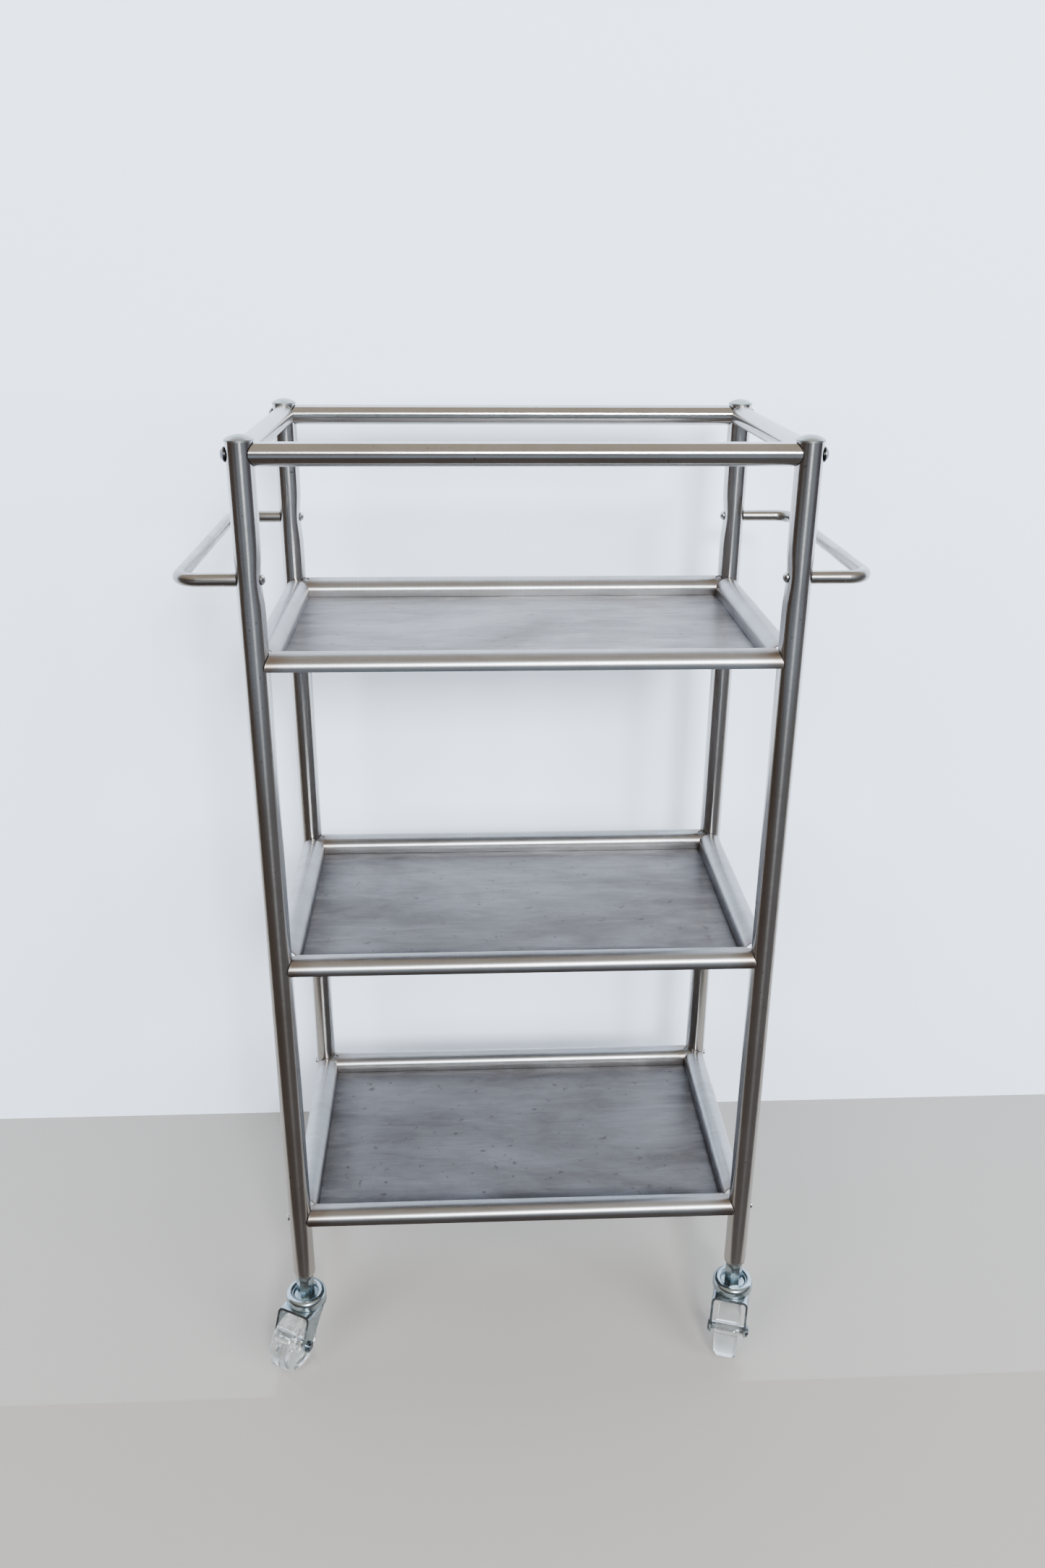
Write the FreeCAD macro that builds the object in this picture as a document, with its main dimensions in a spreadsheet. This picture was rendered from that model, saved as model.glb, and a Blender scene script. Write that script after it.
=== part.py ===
import FreeCAD, Part
import os
import re
import Sketcher

# Instrument cart: four tubular posts on swivel casters, a top rail frame, two side handles
# and three rolled-edge trays. Millimetres. +X right, -Y front, +Z up, floor at Z = 0.

SIZES = {
    # main frame
    "post_spacing_x": 380,
    "post_spacing_y": 228,
    "rail_height": 781,
    "post_bottom": 85,
    "post_over_rail": 0.5,
    "post_diameter": 19,
    "post_wall": 1,
    "rail_diameter": 16,
    "rail_wall": 1,
    "weld_gap": 0.02,
    # rail joints
    "insert_length": 16,
    "slip_clearance": 0.05,
    "rail_gap": 0.8,
    "rail_bolt_diameter": 6,
    "rail_bolt_head": 10.5,
    "rail_bolt_head_height": 2.8,
    "rail_bolt_reach": 12,
    "hole_clearance": 0.15,
    # post caps
    "cap_overhang": 0.35,
    "cap_rim": 1.2,
    "cap_dome": 3.2,
    "cap_bolt_gap": 1,
    # handles
    "handle_drop": 84,
    "handle_reach": 50,
    "handle_rod": 9.5,
    "handle_bend": 14,
    "handle_gap": 0.3,
    "handle_thread_depth": 12,
    "handle_screw_diameter": 4,
    "handle_screw_head": 7.6,
    "handle_screw_head_height": 2.6,
    # trays
    "top_tray_drop": 151,
    "bottom_tray_height": 136,
    "sheet": 0.9,
    "rim_radius": 10.6,
    "rim_inset": 2.5,
    "rim_wall": 4.2,
    "rim_lip": 1.4,
    "cope_gap": 0.9,
    "corner_relief": 5.5,
    "relief_offset": 7.5,
    "rim_end_chamfer": 3,
    "rim_end_offset": 6.2,
    # tray plugs and screws
    "plug_length": 26,
    "tray_screw_lift": 3,
    "tray_screw_diameter": 4,
    "tray_screw_head": 6.4,
    "tray_screw_head_height": 1.6,
    "tray_screw_reach": 11,
    # casters
    "socket_nose": 8,
    "socket_nose_diameter": 18.4,
    "socket_tip_diameter": 13.6,
    "socket_taper": 5.5,
    "socket_spigot": 26,
    "stem_diameter": 10,
    "stem_reach": 22,
    "stem_head_diameter": 13,
    "stem_head_height": 3,
    "stem_hex_width": 13,
    "caster_trail": 23,
    "wheel_radius": 24,
    "wheel_width": 21,
    "wheel_gap": 2.2,
    "wheel_recess": 2.5,
    "wheel_hub_radius": 9,
    "wheel_shoulder": 5,
    "wheel_rim": 7,
    "fork_plate": 2,
    "fork_inside": 28,
    "fork_nose": 19,
    "fork_leg_top_back": 7,
    "fork_leg_tip": 5.7,
    "fork_bend": 2.5,
    "head_diameter": 35,
    "head_crown": 7.4,
    "head_plate": 1.4,
    "head_height": 8.6,
    "head_wall": 1.3,
    "race_gap": 0.4,
    "ball_diameter": 3.4,
    "ball_inset": 4,
    "bush_diameter": 8.6,
    "running_clearance": 0.08,
    "end_play": 0.3,
    "axle_diameter": 6,
    "axle_head_diameter": 10,
    "axle_head_height": 1.6,
    "axle_nut_diameter": 9.6,
    "swivel_front_left": -28,
    "swivel_front_right": -17,
    "swivel_back_left": 166,
    "swivel_back_right": 156,
}
BALL_COUNT = 12
CORNERS = {
    "front_left": (-1, -1),
    "front_right": (1, -1),
    "back_left": (-1, 1),
    "back_right": (1, 1),
}
TRAYS = ("top", "middle", "bottom")
SCREWED_TRAY = 2

X_AXIS = FreeCAD.Vector(1, 0, 0)
Y_AXIS = FreeCAD.Vector(0, 1, 0)
Z_AXIS = FreeCAD.Vector(0, 0, 1)

doc = FreeCAD.newDocument("instrument_cart")
sizes = doc.addObject("Spreadsheet::Sheet", "sizes")
for row, (alias, number) in enumerate(SIZES.items(), start=1):
    sizes.set(f"A{row}", alias.replace("_", " "))
    sizes.set(f"B{row}", str(number))
    sizes.setAlias(f"B{row}", alias)
doc.recompute()

parts = []


def sheet_names(formula):
    """Write every size name of a formula as a reference to the sheet."""
    return re.sub(r"[a-z_]+", lambda word: "sizes." + word[0] if word[0] in SIZES else word[0], formula)


def measure(formula):
    return float(sizes.evalExpression(sheet_names(formula)))


def bind(target, **formulas):
    for name, formula in formulas.items():
        target.setExpression(name.replace("__", "."), sheet_names(formula))


def new_body(name):
    body = doc.addObject("PartDesign::Body", name)
    body.Label = name
    return body


def keep(piece, name):
    """Count a finished object as one of the cart's sub-parts, with its own name."""
    piece.Label = name
    parts.append((name, piece))
    return piece


def new_sketch(body, plane, name="sketch", lift=None):
    sketch = body.newObject("Sketcher::SketchObject", name)
    origin = next(item for item in body.Origin.OriginFeatures if item.Role == plane)
    sketch.AttachmentSupport = [(origin, "")]
    sketch.MapMode = "FlatFace"
    if lift:
        bind(sketch, AttachmentOffset__Base__z=lift)
    return sketch


def fix(sketch, kind, element, point, formula):
    """Hold one coordinate or radius of a sketch element at a formula of the sheet."""
    number = measure(formula)
    if point is None:
        index = sketch.addConstraint(Sketcher.Constraint(kind, element, number))
    else:
        index = sketch.addConstraint(Sketcher.Constraint(kind, -1, 1, element, point, number))
    sketch.setExpression(f"Constraints[{index}]", sheet_names(formula))


def draw_circle(sketch, radius, x="0", y="0"):
    centre = FreeCAD.Vector(measure(x), measure(y), 0)
    circle = sketch.addGeometry(Part.Circle(centre, Z_AXIS, measure(radius)))
    fix(sketch, "DistanceX", circle, 3, x)
    fix(sketch, "DistanceY", circle, 3, y)
    fix(sketch, "Radius", circle, None, radius)


def draw_outline(sketch, points, arcs=None, closed=True):
    """Draw a chain of edges through points; arcs gives {edge: (centre, radius, turn)}."""
    arcs = arcs or {}
    corners = [FreeCAD.Vector(measure(x), measure(y), 0) for x, y in points]
    drawn = []
    for edge in range(len(corners) if closed else len(corners) - 1):
        start = corners[edge]
        end = corners[(edge + 1) % len(corners)]
        if edge in arcs:
            centre, radius, turn = arcs[edge]
            middle = FreeCAD.Vector(measure(centre[0]), measure(centre[1]), 0)
            first, last = (start, end) if turn > 0 else (end, start)
            from_angle = (first - middle).getAngle(X_AXIS) * (1 if first.y >= middle.y else -1)
            to_angle = (last - middle).getAngle(X_AXIS) * (1 if last.y >= middle.y else -1)
            circle = Part.Circle(middle, Z_AXIS, measure(radius))
            index = sketch.addGeometry(Part.ArcOfCircle(circle, from_angle, to_angle))
            start_point, end_point = (1, 2) if turn > 0 else (2, 1)
            fix(sketch, "DistanceY", index, 3, centre[1])
        else:
            index = sketch.addGeometry(Part.LineSegment(start, end))
            start_point, end_point = 1, 2
        fix(sketch, "DistanceX", index, start_point, points[edge][0])
        fix(sketch, "DistanceY", index, start_point, points[edge][1])
        if drawn:
            sketch.addConstraint(Sketcher.Constraint("Coincident", *drawn[-1][1], index, start_point))
        drawn.append(((index, start_point), (index, end_point)))
    if closed:
        sketch.addConstraint(Sketcher.Constraint("Coincident", *drawn[-1][1], *drawn[0][0]))
    else:
        fix(sketch, "DistanceX", *drawn[-1][1], points[-1][0])
        fix(sketch, "DistanceY", *drawn[-1][1], points[-1][1])


def draw_box(sketch, left, right, bottom, top):
    draw_outline(sketch, [(left, bottom), (right, bottom), (right, top), (left, top)])


def draw_hexagon(sketch, width, x="0", y="0"):
    reach = f"{width} / 2 / cos(30)"
    turns = (0, 60, 120, 180, 240, 300)
    draw_outline(sketch, [(f"{x} + {reach} * cos({turn})", f"{y} + {reach} * sin({turn})") for turn in turns])


def pad(body, sketch, length, symmetric=False):
    feature = body.newObject("PartDesign::Pad", "pad")
    feature.Profile = sketch
    bind(feature, Length=length)
    if symmetric:
        feature.SideType = "Symmetric"
    return feature


def pocket(body, sketch, length, symmetric=True, reverse=False):
    """Cut a sketch out of the body and make sure that it removes material."""
    doc.recompute()
    before = body.Shape.Volume
    feature = body.newObject("PartDesign::Pocket", "pocket")
    feature.Profile = sketch
    bind(feature, Length=length)
    feature.Reversed = reverse
    if symmetric:
        feature.SideType = "Symmetric"
    doc.recompute()
    if body.Shape.Volume >= before:
        raise RuntimeError(f"{body.Label}: a pocket cuts nothing")
    return feature


def revolve(body, sketch, axis="V_Axis"):
    feature = body.newObject("PartDesign::Revolution", "revolution")
    feature.Profile = sketch
    feature.ReferenceAxis = (sketch, [axis])
    feature.Angle = 360
    return feature


def revolve_about_axle(body, sketch):
    """Turn a section about the axle's line, which is drawn in the sketch as a centre line."""
    start = FreeCAD.Vector(-measure("fork_inside"), -measure("caster_trail"), 0)
    end = FreeCAD.Vector(measure("fork_inside"), -measure("caster_trail"), 0)
    line = sketch.addGeometry(Part.LineSegment(start, end), True)
    for point, reach in ((1, "-fork_inside"), (2, "fork_inside")):
        fix(sketch, "DistanceX", line, point, reach)
        fix(sketch, "DistanceY", line, point, "-caster_trail")
    return revolve(body, sketch, "Axis0")


def place(piece, x="0", y="0", z="0", turn=None):
    piece.Placement = FreeCAD.Placement(FreeCAD.Vector(0, 0, 0), FreeCAD.Rotation(Z_AXIS, 1))
    bind(piece, Placement__Base__x=x, Placement__Base__y=y, Placement__Base__z=z)
    bind(piece, Placement__Rotation__Angle=turn or "0")


def mirrored(source, normal):
    copy = doc.addObject("Part::Mirroring", "mirror")
    copy.Source = source
    copy.Normal = normal
    return copy


def four_corners(master):
    """The piece made for the right back corner, with its mirror images at the other three."""
    left = mirrored(master, X_AXIS)
    return [master, left, mirrored(master, Y_AXIS), mirrored(left, Y_AXIS)]


def group(name, pieces):
    compound = doc.addObject("Part::Compound", name)
    compound.Links = pieces
    return keep(compound, name)


def corner_x(side):
    return f"{side} * post_spacing_x / 2"


def corner_y(side):
    return f"{side} * post_spacing_y / 2"


def tray_level(index):
    """Height of a tray's panel; the trays are evenly spaced from the top one to the bottom one."""
    share = index / (len(TRAYS) - 1)
    return f"( ( rail_height - top_tray_drop ) * {1 - share} + bottom_tray_height * {share} )"


POST_TOP = "( rail_height + rail_diameter / 2 + post_over_rail )"
HANDLE_HEIGHT = "( rail_height - handle_drop )"


# --- posts and caps ---------------------------------------------------------------------

def make_post(name, side_x, side_y):
    body = new_body(name)
    section = new_sketch(body, "XY_Plane")
    draw_circle(section, "post_diameter / 2")
    draw_circle(section, "post_diameter / 2 - post_wall")
    pad(body, section, f"{POST_TOP} - post_bottom")
    holes = [
        ("rail_height", "rail_bolt_diameter"),
        (HANDLE_HEIGHT, "handle_screw_diameter"),
        (f"{tray_level(SCREWED_TRAY)} + rim_wall + tray_screw_lift", "tray_screw_diameter"),
    ]
    drilled = new_sketch(body, "YZ_Plane", "holes")
    for height, diameter in holes:
        draw_circle(drilled, f"{diameter} / 2 + hole_clearance", "0", f"{height} - post_bottom")
    pocket(body, drilled, "post_diameter * 2")
    place(body, corner_x(side_x), corner_y(side_y), "post_bottom")
    return keep(body, name)


def make_cap(name, side_x, side_y):
    """A thin domed plug: its rim sits on the post's end and its spigot goes down the bore."""
    body = new_body(name)
    half = new_sketch(body, "XZ_Plane")
    edge = "post_diameter / 2 + cap_overhang"
    foot = f"-1 * ( {POST_TOP} - rail_height - rail_bolt_diameter / 2 - cap_bolt_gap )"
    bore = "post_diameter / 2 - post_wall - slip_clearance"
    dome = f"( ( {edge} ) * ( {edge} ) + cap_dome * cap_dome ) / ( 2 * cap_dome )"
    points = [
        ("0", foot),
        (bore, foot),
        (bore, "0"),
        (edge, "0"),
        (edge, "cap_rim"),
        ("0", "cap_rim + cap_dome"),
    ]
    centre = ("0", f"cap_rim + cap_dome - {dome}")
    draw_outline(half, points, {4: (centre, dome, 1)})
    revolve(body, half)
    place(body, corner_x(side_x), corner_y(side_y), POST_TOP)
    return keep(body, name)


# --- top rails --------------------------------------------------------------------------

def make_rail(name, along_x, side):
    """A tube between two posts, both ends coped: bolted front and back, welded at the sides."""
    body = new_body(name)
    section = new_sketch(body, "YZ_Plane" if along_x else "XZ_Plane")
    draw_circle(section, "rail_diameter / 2")
    draw_circle(section, "rail_diameter / 2 - rail_wall")
    span, gap = ("post_spacing_x", "rail_gap") if along_x else ("post_spacing_y", "weld_gap")
    pad(body, section, span, symmetric=True)
    if not along_x:
        # the inner half of each end also clears the front or back rail
        seats = new_sketch(body, "YZ_Plane", "seats")
        for end in (-1, 1):
            draw_circle(seats, "rail_diameter / 2 + weld_gap", f"{end} * {span} / 2", "0")
        pocket(body, seats, "rail_diameter", symmetric=False, reverse=side < 0)
    copes = new_sketch(body, "XY_Plane", "copes")
    for end in (-1, 1):
        centre = (f"{end} * {span} / 2", "0") if along_x else ("0", f"{end} * {span} / 2")
        draw_circle(copes, f"post_diameter / 2 + {gap}", *centre)
    pocket(body, copes, "rail_diameter * 2")
    if along_x:
        place(body, "0", corner_y(side), "rail_height")
    else:
        place(body, corner_x(side), "0", "rail_height")
    return keep(body, name)


def make_rail_inserts():
    """Threaded plugs in the ends of the front and back rails; the rail bolts screw into them."""
    body = new_body("rail_insert")
    section = new_sketch(body, "YZ_Plane", lift="post_spacing_x / 2 - post_diameter / 2 - insert_length")
    draw_circle(section, "rail_diameter / 2 - rail_wall - slip_clearance")
    draw_circle(section, "rail_bolt_diameter / 2 + slip_clearance")
    pad(body, section, "insert_length + post_diameter / 2")
    cope = new_sketch(body, "XY_Plane", "cope")
    draw_circle(cope, "post_diameter / 2 + weld_gap", "post_spacing_x / 2")
    pocket(body, cope, "rail_diameter * 2")
    place(body, "0", corner_y(1), "rail_height")
    return group("rail_inserts", four_corners(body))


def make_button_screw(name, seat, outward, diameter, head, head_height, shank, socket):
    """A round-headed screw along X: its head seats at seat, and its shank runs the other way."""
    body = new_body(name)
    half = new_sketch(body, "XZ_Plane")
    cheek = f"{head_height} * 0.3"
    crown = f"{head} * 0.28"
    points = [
        (f"{seat} - {outward} * ( {shank} )", "0"),
        (f"{seat} + {outward} * {head_height}", "0"),
        (f"{seat} + {outward} * {head_height}", crown),
        (f"{seat} + {outward} * {cheek}", f"{head} / 2"),
        (seat, f"{head} / 2"),
        (seat, f"{diameter} / 2"),
        (f"{seat} - {outward} * ( {shank} )", f"{diameter} / 2"),
    ]
    draw_outline(half, points)
    revolve(body, half, "H_Axis")
    recess = new_sketch(body, "YZ_Plane", "recess", lift=f"{seat} + {outward} * {head_height}")
    draw_socket(recess, socket)
    pocket(body, recess, f"{head_height} * 0.6", symmetric=False, reverse=outward < 0)
    return body


def draw_socket(sketch, width):
    """A hexagonal socket: six corners on the circle round the given width across flats."""
    corner = f"{width} / 2 / cos(30)"
    points = [(f"{corner} * cos({60 * turn})", f"{corner} * sin({60 * turn})") for turn in range(6)]
    draw_outline(sketch, points)


def make_rail_bolts():
    """Button-head bolts from outside through the posts into the front and back rails."""
    seat = "( post_spacing_x / 2 + post_diameter / 2 )"
    body = make_button_screw(
        "rail_bolt", seat, 1, "rail_bolt_diameter", "rail_bolt_head", "rail_bolt_head_height",
        "post_diameter + rail_bolt_reach", "rail_bolt_diameter * 0.66")
    place(body, "0", corner_y(1), "rail_height")
    return group("rail_bolts", four_corners(body))


# --- handles ----------------------------------------------------------------------------

def make_handle(name, side):
    """A round rod bent to a level U, its two ends coped to the posts and drilled for a screw."""
    body = new_body(name)
    path = new_sketch(body, "XY_Plane", "path")
    arm = "post_spacing_y / 2"
    turn_x = f"{side} * ( handle_reach - handle_bend )"
    reach = f"{side} * handle_reach"
    bend_y = f"( {arm} - handle_bend )"
    points = [
        ("0", f"-{arm}"),
        (turn_x, f"-{arm}"),
        (reach, f"-{bend_y}"),
        (reach, bend_y),
        (turn_x, arm),
        ("0", arm),
    ]
    bends = {
        1: ((turn_x, f"-{bend_y}"), "handle_bend", side),
        3: ((turn_x, bend_y), "handle_bend", side),
    }
    draw_outline(path, points, bends, closed=False)
    section = new_sketch(body, "YZ_Plane", "section")
    draw_circle(section, "handle_rod / 2", f"-{arm}", "0")
    rod = body.newObject("PartDesign::AdditivePipe", "rod")
    rod.Profile = section
    rod.Spine = path
    rod.Mode = "Frenet"
    ends = new_sketch(body, "XY_Plane", "ends")
    for end in (-1, 1):
        draw_circle(ends, "post_diameter / 2 + handle_gap", "0", f"{end} * {arm}")
    pocket(body, ends, "handle_rod * 2")
    threads = new_sketch(body, "YZ_Plane", "threads")
    for end in (-1, 1):
        draw_circle(threads, "handle_screw_diameter / 2 + slip_clearance", f"{end} * {arm}", "0")
    pocket(body, threads, "post_diameter / 2 + handle_thread_depth", symmetric=False, reverse=side > 0)
    place(body, corner_x(side), "0", HANDLE_HEIGHT)
    return keep(body, name)


def make_handle_screws():
    """Pan-head screws from the inner faces of the posts into the handles' ends."""
    seat = "( post_spacing_x / 2 - post_diameter / 2 )"
    body = make_button_screw(
        "handle_screw", seat, -1, "handle_screw_diameter", "handle_screw_head", "handle_screw_head_height",
        "post_diameter + handle_thread_depth - 2", "handle_screw_diameter * 0.6")
    place(body, "0", corner_y(1), HANDLE_HEIGHT)
    return group("handle_screws", four_corners(body))


# --- trays ------------------------------------------------------------------------------

def make_tray(name, index):
    """A sheet tray: level panel, short inner wall, half-round rim rolled outwards, open below."""
    body = new_body(name)
    wall_x = "( post_spacing_x / 2 - rim_inset - rim_radius )"
    wall_y = "( post_spacing_y / 2 - rim_inset - rim_radius )"
    # the route of the rim's inner wall, starting in the middle of the front side
    path = new_sketch(body, "XY_Plane", "path")
    points = [
        ("0", f"-{wall_y}"),
        (wall_x, f"-{wall_y}"),
        (wall_x, wall_y),
        (f"-{wall_x}", wall_y),
        (f"-{wall_x}", f"-{wall_y}"),
    ]
    draw_outline(path, points)
    # the rim's section across the front side: u runs outwards, which is -Y here
    section = new_sketch(body, "YZ_Plane", "section")
    centre_u = f"( -{wall_y} - rim_radius )"
    inner = "( rim_radius - sheet )"
    points = [
        (f"-{wall_y}", "-sheet"),
        (f"-{wall_y}", "rim_wall"),
        (f"{centre_u} - rim_radius", "rim_wall"),
        (f"{centre_u} - rim_radius", "rim_wall - rim_lip"),
        (f"{centre_u} - {inner}", "rim_wall - rim_lip"),
        (f"{centre_u} - {inner}", "rim_wall"),
        (f"{centre_u} + {inner}", "rim_wall"),
        (f"{centre_u} + {inner}", "-sheet"),
    ]
    centre = (centre_u, "rim_wall")
    draw_outline(section, points, {1: (centre, "rim_radius", 1), 5: (centre, inner, -1)})
    rim = body.newObject("PartDesign::AdditivePipe", "rim")
    rim.Profile = section
    rim.Spine = path
    rim.Transition = "Right corner"
    panel = new_sketch(body, "XY_Plane", "panel", lift="-sheet")
    draw_box(panel, f"-{wall_x}", wall_x, f"-{wall_y}", wall_y)
    pad(body, panel, "sheet")
    copes = new_sketch(body, "XY_Plane", "copes")
    for side_x, side_y in CORNERS.values():
        draw_circle(copes, "post_diameter / 2 + cope_gap", corner_x(side_x), corner_y(side_y))
    pocket(body, copes, "( rim_radius + rim_wall ) * 4")
    reliefs = new_sketch(body, "XY_Plane", "reliefs", lift="rim_wall * 0.4")
    for side_x, side_y in CORNERS.values():
        centre_x = f"{side_x} * ( post_spacing_x / 2 - relief_offset )"
        centre_y = f"{side_y} * ( post_spacing_y / 2 - relief_offset )"
        draw_circle(reliefs, "corner_relief", centre_x, centre_y)
    pocket(body, reliefs, "rim_radius * 3", symmetric=False, reverse=True)
    corners = new_sketch(body, "XY_Plane", "corners")
    for side_x, side_y in CORNERS.values():
        draw_box(corners, corner_x(side_x), f"{corner_x(side_x)} + {side_x} * post_diameter",
                 corner_y(side_y), f"{corner_y(side_y)} + {side_y} * post_diameter")
    pocket(body, corners, "( rim_radius + rim_wall ) * 4")
    for plane, spacing in (("XZ_Plane", "post_spacing_x"), ("YZ_Plane", "post_spacing_y")):
        trims = new_sketch(body, plane, "trims")
        for side in (-1, 1):
            end = f"{side} * ( {spacing} / 2 - rim_end_offset )"
            draw_outline(trims, [
                (f"{end} - {side} * rim_end_chamfer", "rim_wall - rim_lip * 2"),
                (f"{side} * {spacing} / 2", "rim_wall - rim_lip * 2"),
                (f"{side} * {spacing} / 2", "rim_wall - rim_lip * 2 + rim_end_chamfer * 2"),
                (f"{end} + {side} * rim_end_chamfer", "rim_wall - rim_lip * 2 + rim_end_chamfer * 2"),
            ])
        pocket(body, trims, "post_spacing_x * 2")
    place(body, "0", "0", tray_level(index))
    return keep(body, name)


def make_rim_plugs(name, index, tapped):
    """Half-round plugs inside the ends of the front and back rims, coped to the posts.

    They are welded to the posts, and those of one tray are tapped for its screws instead.
    """
    body = new_body(f"rim_plug_{index}")
    radius = "( rim_radius - sheet - weld_gap )"
    centre_y = "( post_spacing_y / 2 - rim_inset )"
    section = new_sketch(body, "YZ_Plane", "section", lift="post_spacing_x / 2 - plug_length")
    points = [
        (f"{centre_y} + {radius}", "rim_wall"),
        (f"{centre_y} - {radius}", "rim_wall"),
    ]
    draw_outline(section, points, {0: ((centre_y, "rim_wall"), radius, 1)})
    pad(body, section, "plug_length")
    cope = new_sketch(body, "XY_Plane", "cope")
    draw_circle(cope, "post_diameter / 2 + weld_gap", corner_x(1), corner_y(1))
    pocket(body, cope, "( rim_radius + rim_wall ) * 4")
    beyond = new_sketch(body, "XY_Plane", "beyond")
    draw_box(beyond, f"{corner_x(1)} - post_diameter / 4", f"{corner_x(1)} + post_diameter",
             f"{corner_y(1)} - rim_radius * 2", f"{corner_y(1)} + rim_radius * 2")
    pocket(body, beyond, "( rim_radius + rim_wall ) * 4")
    if tapped:
        hole = new_sketch(body, "YZ_Plane", "hole")
        bore = "tray_screw_diameter / 2 + slip_clearance"
        draw_circle(hole, bore, corner_y(1), "rim_wall + tray_screw_lift")
        pocket(body, hole, "post_spacing_x * 2")
    place(body, "0", "0", tray_level(index))
    return group(name, four_corners(body))


def make_tray_screws():
    """Small round-headed screws from outside through the posts into the bottom tray's plugs."""
    seat = "( post_spacing_x / 2 + post_diameter / 2 )"
    body = make_button_screw(
        "tray_screw", seat, 1, "tray_screw_diameter", "tray_screw_head", "tray_screw_head_height",
        "post_diameter + tray_screw_reach", "tray_screw_diameter * 0.55")
    place(body, "0", corner_y(1), f"{tray_level(SCREWED_TRAY)} + rim_wall + tray_screw_lift")
    return group("tray_screws", four_corners(body))


# --- casters ----------------------------------------------------------------------------
# Each caster is drawn about its own stem axis with the wheel trailing towards -Y, on the
# floor, and then turned about the stem to its rest angle.

AXLE_HEIGHT = "wheel_radius"
FORK_UNDER = "( 2 * wheel_radius + wheel_gap )"
FORK_TOP = "( 2 * wheel_radius + wheel_gap + fork_plate )"
HEAD_BASE = f"( {FORK_TOP} + race_gap )"
HEAD_TOP = f"( {HEAD_BASE} + head_height )"
SOCKET_TIP = "( post_bottom - socket_nose )"
CEILING = f"( {HEAD_BASE} + ball_diameter )"
DISH = f"( {CEILING} + head_plate )"


def place_caster(piece, corner, turn=True):
    side_x, side_y = CORNERS[corner]
    place(piece, corner_x(side_x), corner_y(side_y), "0", f"swivel_{corner}" if turn else None)


def make_socket(corner):
    """The plug in the post's lower end, with a tapered nose below it, bored for the stem."""
    body = new_body(f"caster_socket_{corner}")
    half = new_sketch(body, "XZ_Plane")
    bore = "( stem_diameter / 2 + slip_clearance )"
    plug = "( post_diameter / 2 - post_wall - slip_clearance )"
    points = [
        (bore, SOCKET_TIP),
        ("socket_tip_diameter / 2", SOCKET_TIP),
        ("socket_nose_diameter / 2", f"{SOCKET_TIP} + socket_taper"),
        ("socket_nose_diameter / 2", "post_bottom - weld_gap"),
        (plug, "post_bottom - weld_gap"),
        (plug, "post_bottom + socket_spigot"),
        (bore, "post_bottom + socket_spigot"),
    ]
    draw_outline(half, points)
    revolve(body, half)
    place_caster(body, corner, turn=False)
    return keep(body, f"caster_socket_{corner}")


def make_stem(corner):
    """The kingpin: a head below the fork plate, a hexagon on the race, a shank in the socket."""
    body = new_body(f"caster_stem_{corner}")
    half = new_sketch(body, "XZ_Plane")
    under = f"( {FORK_UNDER} - end_play )"
    pin = "( stem_diameter / 2 )"
    points = [
        ("0", f"{under} - stem_head_height"),
        ("stem_head_diameter / 2", f"{under} - stem_head_height"),
        ("stem_head_diameter / 2", under),
        (pin, under),
        (pin, f"{SOCKET_TIP} + stem_reach"),
        ("0", f"{SOCKET_TIP} + stem_reach"),
    ]
    draw_outline(half, points)
    revolve(body, half)
    hexagon = new_sketch(body, "XY_Plane", "hexagon", lift=DISH)
    draw_hexagon(hexagon, "stem_hex_width")
    pad(body, hexagon, f"{SOCKET_TIP} - slip_clearance - {DISH}")
    place_caster(body, corner, turn=False)
    return keep(body, f"caster_stem_{corner}")


def make_head(corner):
    """The pressed upper race: a domed ring with a sunk middle that grips the stem."""
    body = new_body(f"caster_head_{corner}")
    half = new_sketch(body, "XZ_Plane")
    outer = "( head_diameter / 2 )"
    mouth = "( head_diameter / 2 - head_crown )"
    crown = "( head_diameter / 2 - head_crown / 2 )"
    spring = f"( {HEAD_TOP} - head_crown / 2 )"
    bore = "( stem_diameter / 2 + slip_clearance )"
    points = [
        (outer, HEAD_BASE),
        (outer, spring),
        (mouth, spring),
        (mouth, DISH),
        (bore, DISH),
        (bore, CEILING),
        (f"{outer} - head_wall", CEILING),
        (f"{outer} - head_wall", HEAD_BASE),
    ]
    draw_outline(half, points, {1: ((crown, spring), "head_crown / 2", 1)})
    revolve(body, half)
    place_caster(body, corner, turn=False)
    return keep(body, f"caster_head_{corner}")


def make_balls(corner):
    """The ring of balls between the head and the fork plate, one solid each."""
    balls = []
    circle = "( head_diameter / 2 - ball_inset )"
    for turn in range(BALL_COUNT):
        ball = doc.addObject("Part::Sphere", "ball")
        bind(ball, Radius="ball_diameter / 2 - slip_clearance")
        angle = 360 * turn / BALL_COUNT
        bind(
            ball,
            Placement__Base__x=f"{circle} * cos({angle})",
            Placement__Base__y=f"{circle} * sin({angle})",
            Placement__Base__z=f"{HEAD_BASE} + ball_diameter / 2")
        balls.append(ball)
    compound = group(f"caster_balls_{corner}", balls)
    place_caster(compound, corner, turn=False)
    return compound


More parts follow.
